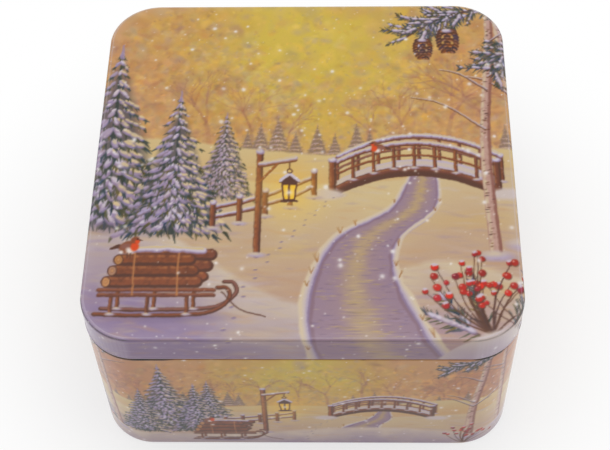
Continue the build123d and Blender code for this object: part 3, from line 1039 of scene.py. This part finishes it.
def make_lid(print_material, tin_material):
    """The lid, made by drawing one sheet: flat top, rounded edge, skirt and inward curled hem, as one closed
    skin.
    """
    jog = math.radians(HEM_JOG_ANGLE)
    skirt = TOP - LID_BOTTOM - LID_EDGE_RADIUS - LID_HEM / 2 - 2 * HEM_JOG_BEND * math.sin(jog)
    moves = [
        (LID_EDGE_RADIUS - HALF_SHEET, 90),
        (skirt, 0),
        (HEM_JOG_BEND, -HEM_JOG_ANGLE),
        (HEM_JOG_BEND, HEM_JOG_ANGLE),
        (LID_HEM / 2 - HALF_SHEET, HEM_SWEEP),
    ]
    start = (LID_EDGE_RADIUS + 2 * HEM_JOG_BEND * (1 - math.cos(jog)), TOP - HALF_SHEET)
    inner, inner_normals = Strip(start, 180, moves).face(1)
    outer, outer_normals = Strip(start, 180, moves, fine=1).face(-1)
    top, cells, edge, plan = lid_lattice(start[0])

    points = np.concatenate([top, plan.rings(np.concatenate([inner, outer[:0:-1]]))])
    normals = plan.directions(np.concatenate([inner_normals, outer_normals[:0:-1]]))
    normals = np.concatenate([np.tile((0.0, 0.0, 1.0), (len(top), 1)), normals])
    index = np.vstack([np.arange(len(top), len(points)).reshape(-1, len(edge)), edge])
    inside, outside = index[: len(inner) + 1], index[len(inner):]
    faces = [(cells, 0), (bands(inside), 1), (bands(outside), 0), (index[0][::-1][None, :], 1)]

    unrolled = walked(outer)
    to_edge = CORNER_RADIUS - start[0]
    on_outside = [plan.spread(to_edge + reach) for reach in unrolled[:0:-1]]
    picture = paint_lid().colours(np.concatenate([top[:, :2], *[plan.core] * len(inner), *on_outside]))

    def on_skirt(value, place=1.0):
        """A value for each outer row times one for each place round it, and 0 at the other vertices."""
        whole = np.outer(value, np.broadcast_to(place, len(edge)))
        spread = np.zeros(len(points))
        spread[len(top) + len(inner) * len(edge):] = whole[:0:-1].ravel()
        spread[edge] = whole[0]
        return spread

    corner_share = plan.corner_share()
    hem_start = unrolled[-1] - (LID_HEM / 2) * math.radians(HEM_SWEEP)
    from_edge = to_edge - np.linalg.norm(np.maximum(np.abs(top[:, :2]) - STRAIGHT, 0), axis=1)
    # painted highlight along the top's edge and the hem, painted sheen on the skirt at the corners, and a
    # painted highlight line just above the crease there
    all_round = 0.3 * bell(unrolled, 0.0, 0.5) + 0.24 * bell(unrolled, hem_start + 0.2, 1.3)
    at_corners = 0.3 * np.clip(unrolled - 1.3 * CREASE_LINE, 0, 1)
    at_corners += 0.4 * bell(unrolled, CREASE_LINE - 0.9, 0.35)
    highlight = on_skirt(all_round) + on_skirt(at_corners, corner_share)
    # painted highlight in a soft band along the top's edge
    highlight[:len(top)] += 0.1 * bell(from_edge, 0.0, 2.5)
    crease, hem = bell(unrolled, CREASE_LINE, 0.45), 0.8 * bell(unrolled, hem_start + 1.5, 1.2)
    return build(
        "printed_lid", points, normals, faces, [print_material, tin_material],
        mix(picture, HIGHLIGHT_COLOUR, highlight[:, None]),
        wear=np.maximum(on_skirt(crease, 0.9 + 0.22 * corner_share), on_skirt(hem)),
        rub=on_skirt(crease, 0.62 + 0.45 * corner_share),
    # the painted shade line along the crease, darker in the corners
    )


def make_wall(print_material, tin_material):
    """The wall, bent round and seamed at the back: bottom roll, wall, shoulder, neck and curled rim."""
    wall_middle = WALL_INSET + HALF_SHEET
    shoulder = SHOULDER_TOP - HALF_SHEET
    moves = [
        (ROLL_RETURN, 0),
        (ROLL_INNER_BEND, -90),
        (ROLL_FLAT, 0),
        (ROLL_BEND, -90),
        (shoulder - SHOULDER_BEND - HALF_SHEET - ROLL_BEND, 0),
        (SHOULDER_BEND, -90),
        (NECK_MIDDLE - wall_middle - SHOULDER_BEND - NECK_BEND, 0),
        (NECK_BEND, 90),
        (RIM_TOP - RIM_CURL / 2 - shoulder - NECK_BEND, 0),
        (RIM_CURL / 2 - HALF_SHEET, -RIM_SWEEP),
    ]
    start = np.array((wall_middle + ROLL_BEND + ROLL_FLAT, HALF_SHEET + ROLL_RETURN)) + ROLL_INNER_BEND
    upright = 4  # the number of the move that is the wall itself
    walk = Strip(start, 270, moves, fine=upright)
    outer, outer_normals = walk.face(1)
    inner, inner_normals = Strip(start, 270, moves).face(-1)

    line = -SEAM_WIDTH / 2
    groove = SEAM_GROOVE * np.array((-2.0, -0.6, 0.6, 2.0))  # its shoulders, and the floor between them
    plan, around = wall_plan(line + np.array([*groove, -SEAM_MARGIN, SEAM_MARGIN]))
    from_line = np.abs(np.where(around > WALL_ROUND / 2, around - WALL_ROUND, around) - line)
    in_groove = from_line < SEAM_GROOVE
    dents = np.outer(walk.move == upright, np.where(in_groove, SEAM_GROOVE, 0.0))
    dents = np.concatenate([dents, np.zeros((len(inner), len(around)))])

    rows = np.concatenate([outer, inner[::-1]])
    points = plan.rings(rows, dents)
    normals = plan.directions(np.concatenate([outer_normals, inner_normals[::-1]]))
    index = np.arange(len(points)).reshape(len(rows), -1)
    bare = (walk.move[1:] < upright - 2) | (walk.move[1:] > upright + 1)
    kinds = np.repeat(np.concatenate([bare, np.ones(len(inner) + 1, int)]), len(around))

    spots = np.stack(np.broadcast_arrays(around, rows[:, 1:]), -1).reshape(-1, 2)
    picture = paint_wall().colours(spots).reshape(len(rows), -1, 3)
    # painted shadow under the lid's hem along the top of the wall, near black where it is deepest
    deep_shadow = np.clip(4 * uneven(around, 11, DEEP_SHADOW_SEED) - 2.4, 0, 1)
    under_hem = np.clip((rows[:, 1:] - SHOULDER_TOP + HEM_SHADOW + HEM_SHADOW_MORE * deep_shadow) / 0.3, 0, 1)
    cover = under_hem * (0.45 + 0.5 * uneven(around, 5, HEM_SHADOW_SEED))
    picture = mix(picture, mix(HEM_SHADOW_WARM, HEM_SHADOW_DARK, deep_shadow[:, None]), cover[..., None])
    scuff = np.maximum(bell(rows[:, 1], 0, 1.0), 0.75 * bell(rows[:, 1], SHOULDER_TOP, 0.5))
    unprinted = np.where(from_line < SEAM_MARGIN * 0.98, BARE, 0.0)
    return build(
        "printed_wall", points, normals, [(bands(index, closed=True), kinds)],
        [print_material, tin_material], picture.reshape(-1, 3),
        wear=np.maximum(scuff[:, None], unprinted).ravel(),
        rub=np.outer(np.ones(len(rows)), np.where(in_groove, SOILED, 0.0)).ravel(),
    )


def make_side_seam(tin_material):
    """The folded lock seam inside the back wall, a flat strip with rounded long edges."""
    outside = HALF_WIDTH - WALL_INSET - SHEET
    inside = outside - SEAM_LAYERS * SHEET
    half = SEAM_WIDTH / 2
    angle = np.linspace(0, TAU / 4, 7)
    rounded = SEAM_BEND * np.column_stack([1 - np.cos(angle), 1 - np.sin(angle)])
    corner = (half, inside) + rounded * (-1, 1)
    side = np.vstack([(half, outside + SEAM_OVERLAP), corner])
    outline = np.concatenate([side, side[::-1] * (-1, 1)])
    foot, head = BASE_FIELD_TOP + SEAM_END_GAP, SHOULDER_TOP - SHEET - SHOULDER_BEND - SEAM_END_GAP
    points = np.concatenate([np.column_stack([outline, np.full(len(outline), z)]) for z in (foot, head)])
    index = np.arange(len(points)).reshape(2, -1)
    faces = [(bands(index)[:, ::-1], 0), (index[:1], 0), (index[1:, ::-1], 0)]
    normals = (points - (0, outside, 0)) * (1, 1, 0)
    normals /= np.linalg.norm(normals, axis=1)[:, None]
    return build("side_seam", points, normals, faces, [tin_material])


# ------------------------------------------------------------------ materials
class Nodes:
    """The nodes of a material or world under construction, with short ways to add and join them."""

    def __init__(self, owner):
        owner.use_nodes = True
        self.owner, self.tree = owner, owner.node_tree

    def add(self, kind, **settings):
        node = self.tree.nodes.new(kind)
        for key, value in settings.items():
            setattr(node, key, value)
        return node

    def feed(self, node, **inputs):
        """Joins sockets to a node's inputs, or sets them. An input is named, or numbered as in _0."""
        for key, value in inputs.items():
            socket = node.inputs[int(key[1:])] if key[0] == "_" else node.inputs[key.replace("_", " ")]
            if isinstance(value, bpy.types.NodeSocket):
                self.tree.links.new(value, socket)
            else:
                socket.default_value = value
        return node

    def noise(self, size, detail=3.0, stretch=(1, 1, 1), rough=0.55):
        """Noise whose lumps are about size metres across, longer along an axis where stretch is small."""
        place = self.add("ShaderNodeTexCoord").outputs["Object"]
        spot = self.feed(self.add("ShaderNodeMapping"), Vector=place, Scale=stretch).outputs[0]
        made = self.add("ShaderNodeTexNoise")
        return self.feed(made, Vector=spot, Scale=1 / size, Detail=detail, Roughness=rough).outputs["Fac"]

    def ramp(self, value, low, high, start=0.0, end=1.0):
        node = self.add("ShaderNodeMapRange", interpolation_type="SMOOTHSTEP")
        return self.feed(node, Value=value, From_Min=low, From_Max=high, To_Min=start, To_Max=end).outputs[0]

    def math(self, operation, first, second):
        return self.feed(self.add("ShaderNodeMath", operation=operation), _0=first, _1=second).outputs[0]

    def blend(self, share, first, second, mode="MIX"):
        node = self.add("ShaderNodeMix", data_type="RGBA", blend_type=mode)
        return self.feed(node, _0=share, _6=first, _7=second).outputs[2]

    def bump(self, height, depth, **over):
        """Height in 0 to 1 standing depth metres proud, over another bump that is given as Normal."""
        node = self.add("ShaderNodeBump")
        return self.feed(node, Height=height, Distance=depth, Strength=1.0, **over).outputs[0]

    def seen(self):
        """1 for what the camera sees, straight, mirrored or through glass."""
        rays = self.add("ShaderNodeLightPath").outputs
        glossy = self.math("MAXIMUM", rays["Is Camera Ray"], rays["Is Glossy Ray"])
        return self.math("MAXIMUM", glossy, rays["Is Transmission Ray"])

    def mixed(self, share, first, second, output):
        """Mixes the shaders of two nodes and joins them to the output."""
        node = self.feed(self.add("ShaderNodeMixShader"), _0=share, _1=first.outputs[0], _2=second.outputs[0])
        self.feed(self.tree.nodes[output], Surface=node.outputs[0])


def new_material(name):
    nodes = Nodes(bpy.data.materials.new(name))
    return nodes, nodes.tree.nodes["Principled BSDF"]


def grey(value):
    return (value, value, value, 1)


TIN = (0.57, 0.56, 0.54, 1)
TIN_DARK = (0.31, 0.305, 0.29, 1)
TIN_BRIGHT = (0.84, 0.83, 0.80, 1)
SCRATCHED = (0.80, 0.78, 0.76, 1)
# painted shade along the lid's crease, and dirt in the seam's joint
CREASE_SHADE_AND_DIRT = (0.13, 0.115, 0.125, 1)


def tin_surface(nodes):
    """Colour, roughness and rolling lines of tinplate, with cloudy patches and light scratches."""
    rolled = nodes.noise(0.00035, 2, (1, 0.02, 1))
    cloudy = nodes.noise(0.018, 4)
    scratched = nodes.ramp(nodes.noise(0.0012, 5, (0.05, 1, 1), 0.7), 0.66, 0.72)
    colour = nodes.blend(nodes.ramp(cloudy, 0.35, 0.75, 0.0, 0.35), TIN, TIN_DARK)
    colour = nodes.blend(nodes.math("MULTIPLY", scratched, 0.4), colour, TIN_BRIGHT)
    dulled = nodes.ramp(cloudy, 0.3, 0.8, 0.0, 0.12)
    rough = nodes.math("ADD", nodes.ramp(rolled, 0.3, 0.7, 0.22, 0.32), dulled)
    return colour, rough, rolled


def tinplate():
    nodes, shader = new_material("bare_tinplate")
    colour, rough, rolled = tin_surface(nodes)
    normal = nodes.bump(rolled, 0.000004, Normal=nodes.bump(nodes.noise(0.03, 2), 0.0004))
    nodes.feed(shader, Base_Color=colour, Metallic=1.0, Roughness=rough, Normal=normal)
    return nodes.owner


def printed(name, coat, coat_ior):
    """Varnished print on tinplate, with painted crease shade and joint dirt where rub is high, worn through
    where wear is.
    """
    nodes, shader = new_material(name)
    picture = nodes.add("ShaderNodeAttribute", attribute_name="picture").outputs["Color"]
    wear = nodes.add("ShaderNodeAttribute", attribute_name="wear").outputs["Fac"]
    rub = nodes.add("ShaderNodeAttribute", attribute_name="rub").outputs["Fac"]
    ink = nodes.blend(1.0, picture, nodes.blend(nodes.noise(0.0004, 2), grey(0.94), grey(1.06)), "MULTIPLY")
    patchy = nodes.ramp(nodes.noise(0.03, 6, rough=0.7), 0.35, 0.65, 0.35, 0.9)
    # painted shade along the lid's crease, in patches, and dirt in the seam's joint
    ink = nodes.blend(nodes.math("MULTIPLY", nodes.ramp(rub, 0.25, 0.8), patchy), ink, CREASE_SHADE_AND_DIRT)
    along = nodes.ramp(nodes.noise(0.0016, 6, (1, 0.035, 1), 0.75), 0.715, 0.74)
    across = nodes.ramp(nodes.noise(0.0019, 6, (0.05, 1, 1), 0.75), 0.72, 0.745)
    ink = nodes.blend(nodes.math("MULTIPLY", nodes.math("MAXIMUM", along, across), 0.25), ink, SCRATCHED)
    chips = nodes.math("ADD", wear, nodes.math("MULTIPLY", nodes.noise(0.003, 6, rough=0.72), 1.3))
    worn = nodes.ramp(chips, 1.72, 1.78)
    colour = nodes.blend(worn, ink, tin_surface(nodes)[0])
    # dirt in the seam's joint, over the bare metal too
    colour = nodes.blend(nodes.ramp(rub, 1.2, 1.8, 0.0, 0.85), colour, CREASE_SHADE_AND_DIRT)
    smudge = nodes.ramp(nodes.noise(0.035, 5, rough=0.6), 0.35, 0.75, 0.32, 0.44)
    peel = nodes.bump(nodes.noise(0.0014, 2), 0.000010)
    panel = nodes.bump(nodes.noise(0.055, 1), 0.0005, Normal=peel)
    nodes.feed(
        shader,
        Base_Color=colour,
        Metallic=worn,
        Roughness=nodes.math("ADD", smudge, nodes.math("MULTIPLY", worn, -0.1)),
        Specular_IOR_Level=0.15,
        Coat_Weight=coat,
        Coat_Roughness=0.12,
        Coat_IOR=coat_ior,
        Normal=panel,
        Coat_Normal=panel,
    )
    return nodes.owner


# ------------------------------------------------------------------ floor, light and camera
WORLD_LIGHT = 0.40
FLOOR_RADIUS = 4.0
SHADOW_REACH = (0.09, 0.21)  # where the floor starts to fade to the background, and where it has
LEAST_WHITE = 0.6  # share of the background's white that is seen even under the tin's shadow
LIGHT_AIM = (0, 0, 0.05)  # the tin's middle
CAMERA_ELEVATION, CAMERA_AZIMUTH, CAMERA_ROLL = (math.radians(angle) for angle in (55.46, 2.5, -2.1))
CAMERA_AIM, CAMERA_DISTANCE = (-0.006, 0.057, 0.15), 3.722  # in widths of the tin


def make_world():
    world = bpy.data.worlds.new("studio")
    bpy.context.scene.world = world
    nodes = Nodes(world)
    light = nodes.feed(nodes.tree.nodes["Background"], Color=grey(1), Strength=WORLD_LIGHT)
    white = nodes.feed(nodes.add("ShaderNodeBackground"), Color=grey(1))
    nodes.mixed(nodes.seen(), light, white, "World Output")


def make_floor():
    """A pale floor that holds the tin's shadow near by and fades to the white background further out."""
    bpy.ops.mesh.primitive_circle_add(vertices=64, radius=FLOOR_RADIUS, fill_type="NGON")
    floor = bpy.context.object
    floor.name = "studio_floor"
    nodes, shader = new_material("studio_floor")
    pale = nodes.blend(nodes.noise(0.02, 3), grey(0.93), grey(0.96))
    nodes.feed(shader, Base_Color=pale, Roughness=0.9, Specular_IOR_Level=0.1)
    away = nodes.add("ShaderNodeVectorMath", operation="LENGTH")
    nodes.feed(away, _0=nodes.add("ShaderNodeTexCoord").outputs["Object"])
    far = nodes.math("MULTIPLY", nodes.ramp(away.outputs["Value"], *SHADOW_REACH, LEAST_WHITE), nodes.seen())
    nodes.mixed(far, shader, nodes.add("ShaderNodeEmission"), "Material Output")
    floor.data.materials.append(nodes.owner)


def softbox(name, place, side, power):
    light = bpy.data.lights.new(name, "AREA")
    light.size = side
    light.energy = power
    lamp = bpy.data.objects.new(name, light)
    lamp.location = place
    lamp.rotation_euler = (Vector(LIGHT_AIM) - Vector(place)).to_track_quat("-Z", "Y").to_euler()
    bpy.context.collection.objects.link(lamp)


def make_camera():
    """The photograph's view: from in front, well above, a little from the right, rolled slightly."""
    level = math.cos(CAMERA_ELEVATION)
    back = Vector((
        math.sin(CAMERA_AZIMUTH) * level,
        -math.cos(CAMERA_AZIMUTH) * level,
        math.sin(CAMERA_ELEVATION),
    ))
    across = (-back).cross(Vector((0, 0, 1))).normalized()
    up = across.cross(-back)
    turned = math.cos(CAMERA_ROLL) * across + math.sin(CAMERA_ROLL) * up
    upright = -math.sin(CAMERA_ROLL) * across + math.cos(CAMERA_ROLL) * up
    data = bpy.data.cameras.new("camera")
    data.lens, data.sensor_width = 83.8, 36.0
    data.clip_start, data.clip_end = 0.01, 50
    camera = bpy.data.objects.new("camera", data)
    width = float(2 * HALF_WIDTH * MM)
    place = Vector(CAMERA_AIM) * width + CAMERA_DISTANCE * width * back
    camera.matrix_world = Matrix.Translation(place) @ Matrix((turned, upright, back)).transposed().to_4x4()
    bpy.context.collection.objects.link(camera)
    bpy.context.scene.camera = camera


# ------------------------------------------------------------------ the scene
def main():
    bpy.context.scene.view_settings.view_transform = "Standard"
    tin = tinplate()
    lid = make_lid(printed("lid_print", 0.5, 1.4), tin)
    wall = make_wall(printed("wall_print", 0.6, 1.45), tin)
    seam = make_side_seam(tin)
    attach(lid, "tin_lid")
    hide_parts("lid")
    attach(wall, "tin_body")
    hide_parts("body_wall")
    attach(seam, "tin_body")
    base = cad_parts["base_panel"]
    base.data.materials.clear()
    base.data.materials.append(tin)

    make_world()
    make_floor()
    softbox("top_light", (0.0, 0.10, 1.3), 1.0, 6.0)
    softbox("left_light", (-1.1, -0.1, 0.40), 0.8, 2.2)
    softbox("right_light", (1.1, -0.1, 0.40), 0.8, 3.0)
    make_camera()


main()
